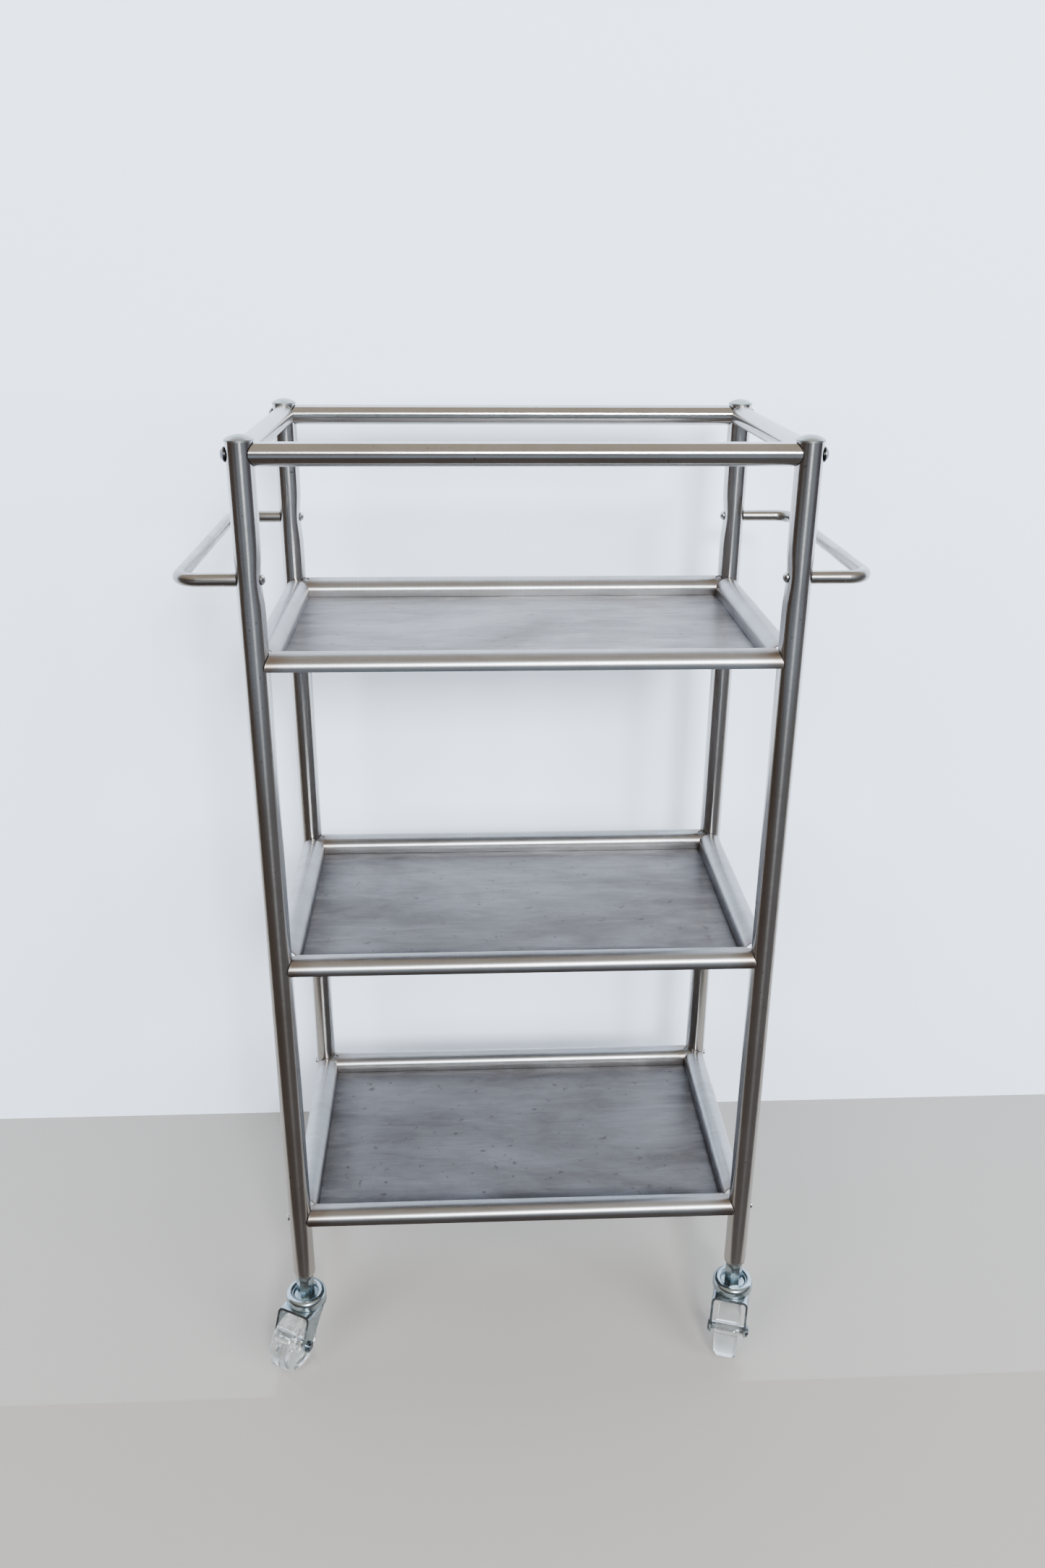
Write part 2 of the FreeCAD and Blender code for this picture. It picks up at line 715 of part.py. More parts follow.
def make_fork(corner):
    """A pressed yoke: a top plate round the stem with a straight nose, and two tapered legs."""
    body = new_body(f"caster_fork_{corner}")
    half_width = "( fork_inside / 2 + fork_plate )"
    plate = new_sketch(body, "XY_Plane", "plate", lift=FORK_UNDER)
    draw_circle(plate, "head_diameter / 2")
    pad(body, plate, "fork_plate")
    leg = new_sketch(body, "YZ_Plane", "leg")
    points = [
        ("-caster_trail - fork_leg_tip", AXLE_HEIGHT),
        ("-caster_trail + fork_leg_tip", AXLE_HEIGHT),
        ("fork_leg_top_back", FORK_TOP),
        ("-fork_nose", FORK_TOP),
        ("-caster_trail - fork_leg_tip", f"{AXLE_HEIGHT} + fork_leg_tip"),
    ]
    draw_outline(leg, points, {0: (("-caster_trail", AXLE_HEIGHT), "fork_leg_tip", 1)})
    pad(body, leg, f"2 * {half_width}", symmetric=True)
    # the opening between the legs, and the outside of the bends between legs and plate
    gap = new_sketch(body, "XZ_Plane", "gap")
    spring = f"{FORK_UNDER} - fork_bend"
    points = [
        ("-1 * fork_inside / 2", "0"),
        ("fork_inside / 2", "0"),
        ("fork_inside / 2", spring),
        ("fork_inside / 2 - fork_bend", FORK_UNDER),
        ("fork_bend - fork_inside / 2", FORK_UNDER),
        ("-1 * fork_inside / 2", spring),
    ]
    rounds = {
        2: (("fork_inside / 2 - fork_bend", spring), "fork_bend", 1),
        4: (("fork_bend - fork_inside / 2", spring), "fork_bend", 1),
    }
    draw_outline(gap, points, rounds)
    pocket(body, gap, "( head_diameter + caster_trail + wheel_radius ) * 2")
    bends = new_sketch(body, "XZ_Plane", "bends")
    for side in (-1, 1):
        turn_x = f"{side} * ( fork_inside / 2 - fork_bend )"
        clear_x = f"{side} * ( {half_width} + head_diameter )"
        points = [
            (turn_x, FORK_TOP),
            (f"{side} * {half_width}", spring),
            (clear_x, spring),
            (clear_x, f"{FORK_TOP} + fork_plate"),
            (turn_x, f"{FORK_TOP} + fork_plate"),
        ]
        draw_outline(bends, points, {0: ((turn_x, spring), "fork_bend + fork_plate", -side)})
    pocket(body, bends, "caster_trail + wheel_radius", symmetric=False, reverse=True)
    pin = new_sketch(body, "XY_Plane", "pin", lift=FORK_UNDER)
    draw_circle(pin, "stem_diameter / 2 + running_clearance")
    pocket(body, pin, "fork_plate * 4")
    axle = new_sketch(body, "YZ_Plane", "axle")
    draw_circle(axle, "axle_diameter / 2 + slip_clearance", "-caster_trail", AXLE_HEIGHT)
    pocket(body, axle, "fork_inside * 2")
    place_caster(body, corner)
    return keep(body, f"caster_fork_{corner}")


def make_axle(corner):
    """The axle bolt, with a round head outside one leg and a plain end outside the other."""
    body = new_body(f"caster_axle_{corner}")
    half = new_sketch(body, "XY_Plane", "sketch", AXLE_HEIGHT)
    leg = "( fork_inside / 2 + fork_plate )"
    points = [
        (f"-{leg} - axle_head_height", "-caster_trail"),
        (f"{leg} + axle_head_height + 1", "-caster_trail"),
        (f"{leg} + axle_head_height + 1", "-caster_trail + axle_diameter / 2"),
        (f"-{leg}", "-caster_trail + axle_diameter / 2"),
        (f"-{leg}", "-caster_trail + axle_head_diameter / 2"),
        (f"-{leg} - axle_head_height * 0.5", "-caster_trail + axle_head_diameter / 2"),
        (f"-{leg} - axle_head_height", "-caster_trail + axle_head_diameter * 0.36"),
    ]
    draw_outline(half, points)
    revolve_about_axle(body, half)
    place_caster(body, corner)
    return keep(body, f"caster_axle_{corner}")


def make_nut(corner):
    """The round nut on the axle's plain end."""
    body = new_body(f"caster_nut_{corner}")
    face = new_sketch(body, "YZ_Plane", lift="fork_inside / 2 + fork_plate")
    draw_circle(face, "axle_nut_diameter / 2", "-caster_trail", AXLE_HEIGHT)
    draw_circle(face, "axle_diameter / 2 + slip_clearance", "-caster_trail", AXLE_HEIGHT)
    pad(body, face, "axle_head_height")
    place_caster(body, corner)
    return keep(body, f"caster_nut_{corner}")


def make_wheel(corner):
    """A clear moulded wheel: flat tread, round shoulders, dished sides, a bore for its bush."""
    body = new_body(f"caster_wheel_{corner}")
    half = new_sketch(body, "XY_Plane", "sketch", AXLE_HEIGHT)
    width = "( wheel_width / 2 )"
    bore = "( bush_diameter / 2 + slip_clearance )"
    rim = "( wheel_radius - wheel_rim )"
    shoulder = "-caster_trail + wheel_radius - wheel_shoulder"
    points = [
        (f"-{width}", f"-caster_trail + {bore}"),
        (f"-{width}", "-caster_trail + wheel_hub_radius - 1"),
        (f"-{width} + wheel_recess", "-caster_trail + wheel_hub_radius"),
        (f"-{width} + wheel_recess", f"-caster_trail + {rim} - 1"),
        (f"-{width}", f"-caster_trail + {rim}"),
        (f"-{width}", shoulder),
        (f"-{width} + wheel_shoulder", "-caster_trail + wheel_radius"),
        (f"{width} - wheel_shoulder", "-caster_trail + wheel_radius"),
        (width, shoulder),
        (width, f"-caster_trail + {rim}"),
        (f"{width} - wheel_recess", f"-caster_trail + {rim} - 1"),
        (f"{width} - wheel_recess", "-caster_trail + wheel_hub_radius"),
        (width, "-caster_trail + wheel_hub_radius - 1"),
        (width, f"-caster_trail + {bore}"),
    ]
    rounds = {
        5: ((f"-{width} + wheel_shoulder", shoulder), "wheel_shoulder", -1),
        7: ((f"{width} - wheel_shoulder", shoulder), "wheel_shoulder", -1),
    }
    draw_outline(half, points, rounds)
    revolve_about_axle(body, half)
    place_caster(body, corner)
    return keep(body, f"caster_wheel_{corner}")


def make_bush(corner):
    """The steel bush moulded into the wheel; it turns on the axle between the fork legs."""
    body = new_body(f"caster_bush_{corner}")
    section = new_sketch(body, "YZ_Plane")
    draw_circle(section, "bush_diameter / 2", "-caster_trail", AXLE_HEIGHT)
    draw_circle(section, "axle_diameter / 2 + running_clearance", "-caster_trail", AXLE_HEIGHT)
    pad(body, section, "fork_inside - 2 * end_play", symmetric=True)
    place_caster(body, corner)
    return keep(body, f"caster_bush_{corner}")


def check_and_write():
    """Stop on any failed object; otherwise write each sub-part to its own file."""
    doc.recompute()
    for item in doc.Objects:
        if {"Invalid", "Error"} & set(item.State):
            raise RuntimeError(f"{item.Label} failed: {item.State}")
    for name, piece in parts:
        if piece.Shape.isNull() or not piece.Shape.isValid():
            raise RuntimeError(f"{name} has no valid shape")
    os.makedirs("parts", exist_ok=True)
    for name, piece in parts:
        piece.Shape.exportStep(os.path.join("parts", f"{name}.step"))


for corner_name, (corner_side_x, corner_side_y) in CORNERS.items():
    make_post(f"post_{corner_name}", corner_side_x, corner_side_y)
    make_cap(f"post_cap_{corner_name}", corner_side_x, corner_side_y)
make_rail("rail_front", True, -1)
make_rail("rail_back", True, 1)
make_rail("rail_left", False, -1)
make_rail("rail_right", False, 1)
make_rail_inserts()
make_rail_bolts()
make_handle("handle_left", -1)
make_handle("handle_right", 1)
make_handle_screws()
for tray_index, tray_name in enumerate(TRAYS):
    make_tray(f"tray_{tray_name}", tray_index)
    make_rim_plugs(f"rim_plugs_{tray_name}", tray_index, tray_index == SCREWED_TRAY)
make_tray_screws()
for corner_name in CORNERS:
    make_socket(corner_name)
    make_stem(corner_name)
    make_head(corner_name)
    make_balls(corner_name)
    make_fork(corner_name)
    make_axle(corner_name)
    make_nut(corner_name)
    make_wheel(corner_name)
    make_bush(corner_name)
check_and_write()
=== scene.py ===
import math

import bmesh
import bpy
from mathutils import Matrix, Vector, noise


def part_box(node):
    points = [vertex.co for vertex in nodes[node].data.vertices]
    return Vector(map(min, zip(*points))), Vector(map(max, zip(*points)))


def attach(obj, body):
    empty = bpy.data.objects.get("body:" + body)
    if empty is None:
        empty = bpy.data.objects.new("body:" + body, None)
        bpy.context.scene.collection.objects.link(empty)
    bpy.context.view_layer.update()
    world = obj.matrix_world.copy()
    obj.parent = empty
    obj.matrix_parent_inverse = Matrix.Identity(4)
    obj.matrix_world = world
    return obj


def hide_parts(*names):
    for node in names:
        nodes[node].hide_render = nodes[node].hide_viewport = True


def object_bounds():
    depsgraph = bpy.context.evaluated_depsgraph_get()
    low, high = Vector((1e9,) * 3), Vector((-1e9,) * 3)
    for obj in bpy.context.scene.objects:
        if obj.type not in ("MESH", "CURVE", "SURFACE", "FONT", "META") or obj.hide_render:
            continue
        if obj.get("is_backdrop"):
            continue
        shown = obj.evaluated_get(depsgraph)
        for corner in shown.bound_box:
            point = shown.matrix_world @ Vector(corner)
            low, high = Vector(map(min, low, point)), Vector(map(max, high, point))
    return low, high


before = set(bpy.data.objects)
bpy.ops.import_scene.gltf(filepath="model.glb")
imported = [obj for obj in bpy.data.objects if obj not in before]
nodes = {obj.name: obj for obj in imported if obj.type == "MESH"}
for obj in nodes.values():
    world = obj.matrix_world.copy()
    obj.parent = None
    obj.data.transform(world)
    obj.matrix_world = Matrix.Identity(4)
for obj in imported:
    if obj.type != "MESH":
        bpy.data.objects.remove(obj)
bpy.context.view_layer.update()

CORNERS = {"front_left": (-1, -1), "front_right": (1, -1), "back_left": (-1, 1), "back_right": (1, 1)}
TRAYS = ("top", "middle", "bottom")


def centre(node):
    low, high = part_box(node)
    return (low + high) / 2


# --- materials ------------------------------------------------------------------------------

class Shader:
    """A material with short calls that add nodes and join them. Positions are in metres."""

    def __init__(self, name):
        self.material = bpy.data.materials.new(name)
        self.material.use_nodes = True
        self.tree = self.material.node_tree
        self.bsdf = self.tree.nodes["Principled BSDF"]
        self.coords = self.node("ShaderNodeTexCoord").outputs["Object"]

    def node(self, kind, **settings):
        made = self.tree.nodes.new(kind)
        for key, value in settings.items():
            setattr(made, key, value)
        return made

    def feed(self, socket, value):
        if isinstance(value, bpy.types.NodeSocket):
            self.tree.links.new(value, socket)
        else:
            socket.default_value = value

    def stretched(self, scale):
        mapping = self.node("ShaderNodeMapping")
        self.feed(mapping.inputs["Vector"], self.coords)
        mapping.inputs["Scale"].default_value = scale
        return mapping.outputs["Vector"]

    def noise(self, scale, stretch=(1, 1, 1), detail=3.0, roughness=0.55, distortion=0.0):
        made = self.node("ShaderNodeTexNoise")
        self.feed(made.inputs["Vector"], self.stretched(stretch))
        settings = {"Scale": scale, "Detail": detail, "Roughness": roughness, "Distortion": distortion}
        for name, number in settings.items():
            made.inputs[name].default_value = number
        return made.outputs["Fac"]

    def remap(self, value, low, high, to_low=0.0, to_high=1.0):
        made = self.node("ShaderNodeMapRange")
        self.feed(made.inputs["Value"], value)
        limits = {"From Min": low, "From Max": high, "To Min": to_low, "To Max": to_high}
        for name, number in limits.items():
            made.inputs[name].default_value = number
        return made.outputs["Result"]

    def math(self, operation, first, second=0.0):
        made = self.node("ShaderNodeMath", operation=operation)
        self.feed(made.inputs[0], first)
        self.feed(made.inputs[1], second)
        return made.outputs["Value"]

    def mix(self, factor, first, second):
        made = self.node("ShaderNodeMix", data_type="RGBA")
        self.feed(made.inputs["Factor"], factor)
        self.feed(made.inputs[6], first)
        self.feed(made.inputs[7], second)
        return made.outputs[2]

    def bump(self, height, strength, distance, normal=None):
        made = self.node("ShaderNodeBump")
        self.feed(made.inputs["Height"], height)
        made.inputs["Strength"].default_value = strength
        made.inputs["Distance"].default_value = distance
        if normal is not None:
            self.feed(made.inputs["Normal"], normal)
        return made.outputs["Normal"]

    def axis(self, name):
        split = self.node("ShaderNodeSeparateXYZ")
        self.feed(split.inputs[0], self.coords)
        return split.outputs[name]

    def direction(self, x, y, z):
        made = self.node("ShaderNodeCombineXYZ")
        for socket, number in zip(made.inputs, (x, y, z)):
            socket.default_value = number
        return made.outputs["Vector"]

    def surface(self, **values):
        for name, value in values.items():
            self.feed(self.bsdf.inputs[name.replace("_", " ")], value)


def colour(r, g, b):
    return (r, g, b, 1.0)


def tinted(base, r, g, b):
    """A grey of brightness base, with each channel scaled."""
    return colour(base * r, base * g, base * b)


def paint(node_names, material):
    for name in node_names:
        mesh = nodes[name].data
        mesh.materials.clear()
        mesh.materials.append(material)


AXES = {"X": (1, 0, 0), "Y": (0, 1, 0), "Z": (0, 0, 1)}


TUBE_BASE = 0.52
TUBE_STRETCH = 60.0


def steel_tube(name, axis):
    """Satin stainless tube, belt-polished round its girth: reflections smear along its length."""
    make = Shader(name)
    base = TUBE_BASE
    along = [1.0, 1.0, 1.0]
    along["XYZ".index(axis)] = TUBE_STRETCH
    hairlines = make.noise(38.0, tuple(along), detail=5.0, roughness=0.8)
    stains = make.noise(11.0, detail=5.0, roughness=0.62, distortion=0.6)
    specks = make.noise(240.0, detail=2.0)
    clean = tinted(base, 1.0, 0.985, 0.965)
    dull = tinted(base, 0.84, 0.80, 0.755)
    scratched = tinted(base, 0.7, 0.69, 0.68)
    speckled = tinted(base, 0.4, 0.34, 0.28)
    tone = make.mix(make.remap(stains, 0.42, 0.72), clean, dull)
    tone = make.mix(make.remap(hairlines, 0.35, 0.75, 0.0, 0.28), tone, scratched)
    tone = make.mix(make.remap(specks, 0.68, 0.74, 0.0, 0.5), tone, speckled)
    make.surface(Base_Color=tone, Metallic=1.0)
    make.surface(Roughness=make.remap(hairlines, 0.3, 0.7, 0.15, 0.22), Anisotropic=0.85)
    make.surface(Tangent=make.direction(*AXES[axis]))
    make.surface(Normal=make.bump(hairlines, 0.012, 0.0002))
    return make.material


TRAY_BASE = 0.50
# from a tray's outer edge to the crease of its panel, and the height that still counts as panel
RIM_WIDTH = 0.0245
PANEL_TOP = 0.0013
# how far painted shade reaches from the crease, and heat tint from the tray's outer edge
CREASE_SHADE_X, CREASE_SHADE_Y = 0.040, 0.030
TINT_START, TINT_FULL = 0.036, 0.018


def tray_sheet(name, tray, painted_shade_scale):
    """Brushed sheet with cloudy wear on the panel, painted shade along the crease and heat tint at the
    corners.
    """
    make = Shader(name)
    low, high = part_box(tray)
    middle = (low + high) / 2
    x, y, z = (make.axis(a) for a in "XYZ")
    from_x = make.math("ABSOLUTE", make.math("SUBTRACT", x, middle.x))
    from_y = make.math("ABSOLUTE", make.math("SUBTRACT", y, middle.y))
    half_x, half_y = (high.x - low.x) / 2, (high.y - low.y) / 2
    # 0 in the middle of the panel, 1 at its crease with the inner wall
    edge_x = make.remap(from_x, half_x - RIM_WIDTH - CREASE_SHADE_X, half_x - RIM_WIDTH)
    edge_y = make.remap(from_y, half_y - RIM_WIDTH - CREASE_SHADE_Y, half_y - RIM_WIDTH)
    edge = make.math("MAXIMUM", edge_x, edge_y)
    on_panel = make.math("LESS_THAN", z, low.z + PANEL_TOP)
    brushed = make.noise(30.0, (1.0, 52.0, 30.0), detail=5.0, roughness=0.75)
    cross = make.noise(30.0, (46.0, 1.2, 30.0), detail=4.0, roughness=0.7)
    girth_x = make.noise(34.0, (60.0, 1.0, 1.0), detail=5.0, roughness=0.8)
    girth_y = make.noise(34.0, (1.0, 60.0, 1.0), detail=5.0, roughness=0.8)
    clouds = make.noise(6.5, (0.8, 1.3, 1.0), detail=6.0, roughness=0.6, distortion=0.5)
    smears = make.noise(24.0, (0.55, 2.4, 1.0), detail=7.0, roughness=0.72, distortion=0.9)
    spots = make.noise(130.0, detail=2.0)
    # the sheet's base colour is scaled down for lower trays: painted shade from the trays above
    base = TRAY_BASE * painted_shade_scale
    light = tinted(base, 1.17, 1.13, 1.16)
    dark = tinted(base, 0.54, 0.49, 0.49)
    both = make.math("ADD", make.math("MULTIPLY", clouds, 0.68), make.math("MULTIPLY", smears, 0.32))
    wear = make.remap(both, 0.40, 0.62)
    panel = make.mix(wear, light, dark)
    # painted shade: the panel darkens towards its crease with the inner wall, in patches that follow the
    # smears
    crease_shade = make.math("MULTIPLY", make.math("POWER", edge, 1.8), make.remap(smears, 0.30, 0.62, 0.45, 1.0))
    panel = make.mix(crease_shade, panel, tinted(base, 0.30, 0.27, 0.27))
    spotted = make.remap(spots, 0.66, 0.74, 0.0, 0.6)
    panel = make.mix(spotted, panel, tinted(base, 0.30, 0.24, 0.20))
    rim_wear = make.remap(smears, 0.36, 0.70)
    rolled = make.mix(rim_wear, colour(0.49, 0.495, 0.51), colour(0.39, 0.38, 0.38))
    # heat tint where the rim is welded to the posts
    corner_x = make.remap(from_x, half_x - TINT_START, half_x - TINT_FULL)
    corner_y = make.remap(from_y, half_y - TINT_START, half_y - TINT_FULL)
    at_corner = make.math("MULTIPLY", corner_x, corner_y)
    tint = make.math("MULTIPLY", at_corner, make.remap(smears, 0.3, 0.6, 0.4, 0.9))
    rolled = make.mix(tint, rolled, colour(0.23, 0.165, 0.115))
    # the rims are polished round their girth, so their hairlines cross the way that they run
    at_side = make.math("GREATER_THAN", make.math("SUBTRACT", from_x, from_y), half_x - half_y)
    tangent = make.mix(on_panel, make.direction(0.7, 0.7, 0), make.direction(0, 1, 0))
    girth = make.mix(at_side, girth_x, girth_y)
    rolled = make.mix(make.remap(girth, 0.35, 0.75, 0.0, 0.4), rolled, colour(0.28, 0.275, 0.27))
    panel = make.mix(make.remap(brushed, 0.35, 0.75, 0.0, 0.45), panel, tinted(base, 0.5, 0.5, 0.51))
    worn_rough = make.remap(wear, 0.0, 1.0, 0.36, 0.46)
    rough = make.math("ADD", worn_rough, make.remap(brushed, 0.3, 0.7, -0.04, 0.05))
    rough = make.mix(on_panel, make.remap(girth, 0.3, 0.7, 0.30, 0.42), rough)
    make.surface(Base_Color=make.mix(on_panel, rolled, panel), Metallic=1.0)
    make.surface(Roughness=rough, Anisotropic=0.8, Tangent=tangent)
    fine = make.bump(brushed, 0.05, 0.0002)
    make.surface(Normal=make.bump(cross, 0.02, 0.0002, fine))
    return make.material


def plated(name, base, low_rough, high_rough, mottle=80.0, dirt=0.35):
    """Bright plated or polished steel with mottled gloss and small dark marks."""
    make = Shader(name)
    patches = make.noise(mottle, detail=4.0, roughness=0.6)
    marks = make.noise(mottle * 3.2, detail=3.0)
    tone = make.mix(make.remap(patches, 0.35, 0.7), colour(*base), colour(*(c * 0.72 for c in base)))
    tone = make.mix(make.remap(marks, 0.60, 0.72, 0.0, dirt), tone, colour(*(c * 0.3 for c in base)))
    make.surface(Base_Color=tone, Metallic=1.0)
    make.surface(Roughness=make.remap(patches, 0.3, 0.7, low_rough, high_rough))
    make.surface(Normal=make.bump(patches, 0.08, 0.0004))
    return make.material


def clear_plastic():
    """Clear moulded plastic: faintly milky, with a scuffed tread and moulding haze."""
    make = Shader("clear_plastic")
    scuffs = make.noise(260.0, detail=4.0, roughness=0.7)
    haze = make.noise(90.0, detail=2.0)
    tone = make.mix(make.remap(haze, 0.4, 0.7), colour(0.95, 0.97, 0.97), colour(0.82, 0.86, 0.85))
    make.surface(Base_Color=tone, Transmission_Weight=0.96, IOR=1.40)
    make.surface(Roughness=make.remap(scuffs, 0.44, 0.74, 0.03, 0.20))
    make.surface(Normal=make.bump(scuffs, 0.12, 0.0004))
    return make.material


upright = steel_tube("steel_tube_upright", "Z")
paint(["rail_front", "rail_back"], steel_tube("steel_tube_wide", "X"))
paint(["rail_left", "rail_right"], steel_tube("steel_tube_deep", "Y"))
paint(["handle_left", "handle_right"], plated("handle_steel", (0.40, 0.385, 0.365), 0.20, 0.32, 40.0, 0.15))
paint([f"post_cap_{c}" for c in CORNERS], plated("cap_steel", (0.40, 0.415, 0.40), 0.30, 0.44, 70.0, 0.2))
# lower trays get darker copies of the same sheet: painted shade
for tray, painted_shade_scale in zip(TRAYS, (0.62, 0.50, 0.42)):
    paint([f"tray_{tray}"], tray_sheet(f"tray_sheet_{tray}", f"tray_{tray}", painted_shade_scale))
turned_steel = plated("turned_steel", (0.30, 0.29, 0.28), 0.3, 0.5)
paint(["rail_inserts"] + [f"rim_plugs_{t}" for t in TRAYS], turned_steel)
paint(["rail_bolts"], plated("bolt_steel", (0.16, 0.16, 0.17), 0.25, 0.4, 150.0))
screw_steel = plated("screw_steel", (0.52, 0.52, 0.52), 0.2, 0.35, 200.0)
paint(["tray_screws"], screw_steel)
zinc = plated("zinc_plate", (0.42, 0.50, 0.54), 0.17, 0.34, 120.0)
paint([f"caster_{part}_{c}" for c in CORNERS for part in ("stem", "head", "fork")], zinc)
socket_steel = plated("socket_steel", (0.52, 0.51, 0.50), 0.26, 0.38, 90.0, 0.15)
paint([f"caster_socket_{c}" for c in CORNERS], socket_steel)
paint([f"caster_balls_{c}" for c in CORNERS], plated("ball_steel", (0.55, 0.55, 0.56), 0.1, 0.2))
dark_bolt = plated("axle_steel", (0.17, 0.20, 0.235), 0.22, 0.40, 150.0)
paint([f"caster_{part}_{c}" for c in CORNERS for part in ("axle", "nut")], dark_bolt)
paint([f"caster_{part}_{c}" for c in CORNERS for part in ("wheel", "bush")], clear_plastic())


# --- posts dented round the handle screws ------------------------------------------------------

POST_WALL = 0.001
POST_SIDES = 84
FINE_STEP, COARSE_STEP = 0.0012, 0.012
DENT_DEPTH = 0.0018
DENT_HALF_LENGTH = 0.013
DENT_SPREAD = math.radians(38)
# beside a dent the tube bulges a little; these angles are in radians from the dent's middle
SWELL, SWELL_ANGLE, SWELL_SPREAD = 0.00035, 1.5, 0.5
SHARP_TUBE, SHARP_SCREW = math.radians(50), math.radians(35)


def finish_piece(name, bm, material, replaced=()):
    mesh = bpy.data.meshes.new(name)
    bm.to_mesh(mesh)
    bm.free()
    for face in mesh.polygons:
        face.use_smooth = True
    mesh.materials.append(material)
    made = bpy.data.objects.new(name, mesh)
    bpy.context.scene.collection.objects.link(made)
    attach(made, "frame")
    if replaced:
        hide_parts(*replaced)
    return made


def mark_sharp(piece, angle):
    bm = bmesh.new()
    bm.from_mesh(piece.data)
    for edge in bm.edges:
        if len(edge.link_faces) == 2 and edge.calc_face_angle(0) > angle:
            edge.smooth = False
    bm.to_mesh(piece.data)
    bm.free()


def dented_post(corner, screw_z):
    """A tube whose inner side is pulled flat round the handle screw, as on a tightened joint."""
    node = f"post_{corner}"
    low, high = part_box(node)
    middle, radius = (low + high) / 2, (high.x - low.x) / 2
    inward_angle = 0 if CORNERS[corner][0] < 0 else math.pi
    levels = [low.z]
    while levels[-1] < high.z:
        near = abs(levels[-1] - screw_z) < 3.2 * DENT_HALF_LENGTH
        levels.append(min(high.z, levels[-1] + (FINE_STEP if near else COARSE_STEP)))
    bm = bmesh.new()

    def ring(z, size):
        points = []
        for i in range(POST_SIDES):
            angle = 2 * math.pi * i / POST_SIDES
            away = abs(math.remainder(angle - inward_angle, 2 * math.pi))
            along = math.exp(-((z - screw_z) / DENT_HALF_LENGTH) ** 2)
            sink = DENT_DEPTH * along * math.exp(-(away / DENT_SPREAD) ** 2)
            swell = SWELL * along * math.exp(-((away - SWELL_ANGLE) / SWELL_SPREAD) ** 2)
            reach = size - sink + swell
            x = middle.x + reach * math.cos(angle)
            y = middle.y + reach * math.sin(angle)
            points.append(bm.verts.new((x, y, z)))
        return points

    loops = [ring(z, radius) for z in levels]
    loops += [ring(z, radius - POST_WALL) for z in reversed(levels)]
    loops.append(loops[0])
    for lower, upper in zip(loops, loops[1:]):
        for i in range(POST_SIDES):
            j = (i + 1) % POST_SIDES
            bm.faces.new((lower[i], lower[j], upper[j], upper[i]))
    bmesh.ops.recalc_face_normals(bm, faces=bm.faces)
    mark_sharp(finish_piece(f"tube_{corner}", bm, upright, (node,)), SHARP_TUBE)


screw_height = centre("handle_screws").z
for corner in CORNERS:
    dented_post(corner, screw_height)


def sunk_screws():
    """The handle screws, pulled outward into the dents by most of their depth."""
    bm = bmesh.new()
    bm.from_mesh(nodes["handle_screws"].data)
    for vertex in bm.verts:
        vertex.co.x += math.copysign(DENT_DEPTH * 0.9, vertex.co.x)
    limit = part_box("handle_screws")[1].x
    for vertex in bm.verts:
        vertex.co.x = max(-limit, min(limit, vertex.co.x))
    return finish_piece("handle_screws_sunk", bm, screw_steel, ("handle_screws",))


mark_sharp(sunk_screws(), SHARP_SCREW)


# --- welds ----------------------------------------------------------------------------------

weld_steel = plated("weld_steel", (0.40, 0.36, 0.31), 0.3, 0.5, 220.0, 0.5)
BEAD_SIDES = 10
WELD_RADIUS, WELD_STEPS = 0.0007, 72
TACK_RADIUS, TACK_HALF_LENGTH, TACK_HEIGHT = 0.0011, 0.0016, 0.0085
# how far round the post a tack sits, as a slope from the square direction
TACK_LEAN = 0.55


def bead(name, points, radius, closed):
    """A weld bead along points: a lumpy cord with the ripples of its passes."""
    bm = bmesh.new()
    count = len(points)
    rings = []
    for i, point in enumerate(points):
        before = points[i - 1] if i or closed else points[i]
        after = points[(i + 1) % count] if i < count - 1 or closed else points[i]
        along = (after - before).normalized()
        across = along.orthogonal().normalized()
        up = along.cross(across)
        ripple = 1 + 0.16 * math.sin(i * 1.9) + 0.25 * noise.noise(point * 400)
        if not closed:
            ripple *= math.sqrt(max(0.02, 1 - (2 * i / (count - 1) - 1) ** 2))
        rings.append([
            bm.verts.new(point + (across * math.cos(a) + up * math.sin(a)) * radius * ripple)
            for a in (2 * math.pi * k / BEAD_SIDES for k in range(BEAD_SIDES))
        ])
    pairs = list(zip(rings, rings[1:])) + ([(rings[-1], rings[0])] if closed else [])
    for first, second in pairs:
        # start each ring at the vertex nearest to the one before it
        shift = min(range(BEAD_SIDES), key=lambda s: (first[0].co - second[s].co).length)
        turned = second[shift:] + second[:shift]
        for k in range(BEAD_SIDES):
            m = (k + 1) % BEAD_SIDES
            bm.faces.new((first[k], first[m], turned[m], turned[k]))
    if not closed:
        bm.faces.new(rings[0])
        bm.faces.new(rings[-1])
    bmesh.ops.recalc_face_normals(bm, faces=bm.faces)
    finish_piece(name, bm, weld_steel)


post_radius = (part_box("post_front_left")[1].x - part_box("post_front_left")[0].x) / 2
rail_low, rail_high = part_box("rail_left")
rail_radius = (rail_high.x - rail_low.x) / 2
rail_z = (rail_low.z + rail_high.z) / 2
for corner, (_, side_y) in CORNERS.items():
    post = centre(f"post_{corner}")
    ring = []
    for k in range(WELD_STEPS):
        a = 2 * math.pi * k / WELD_STEPS
        dx = rail_radius * math.cos(a)
        y = post.y - side_y * math.sqrt(post_radius ** 2 - dx ** 2)
        ring.append(Vector((post.x + dx, y, rail_z + rail_radius * math.sin(a))))
    bead(f"rail_weld_{corner}", ring, WELD_RADIUS, True)

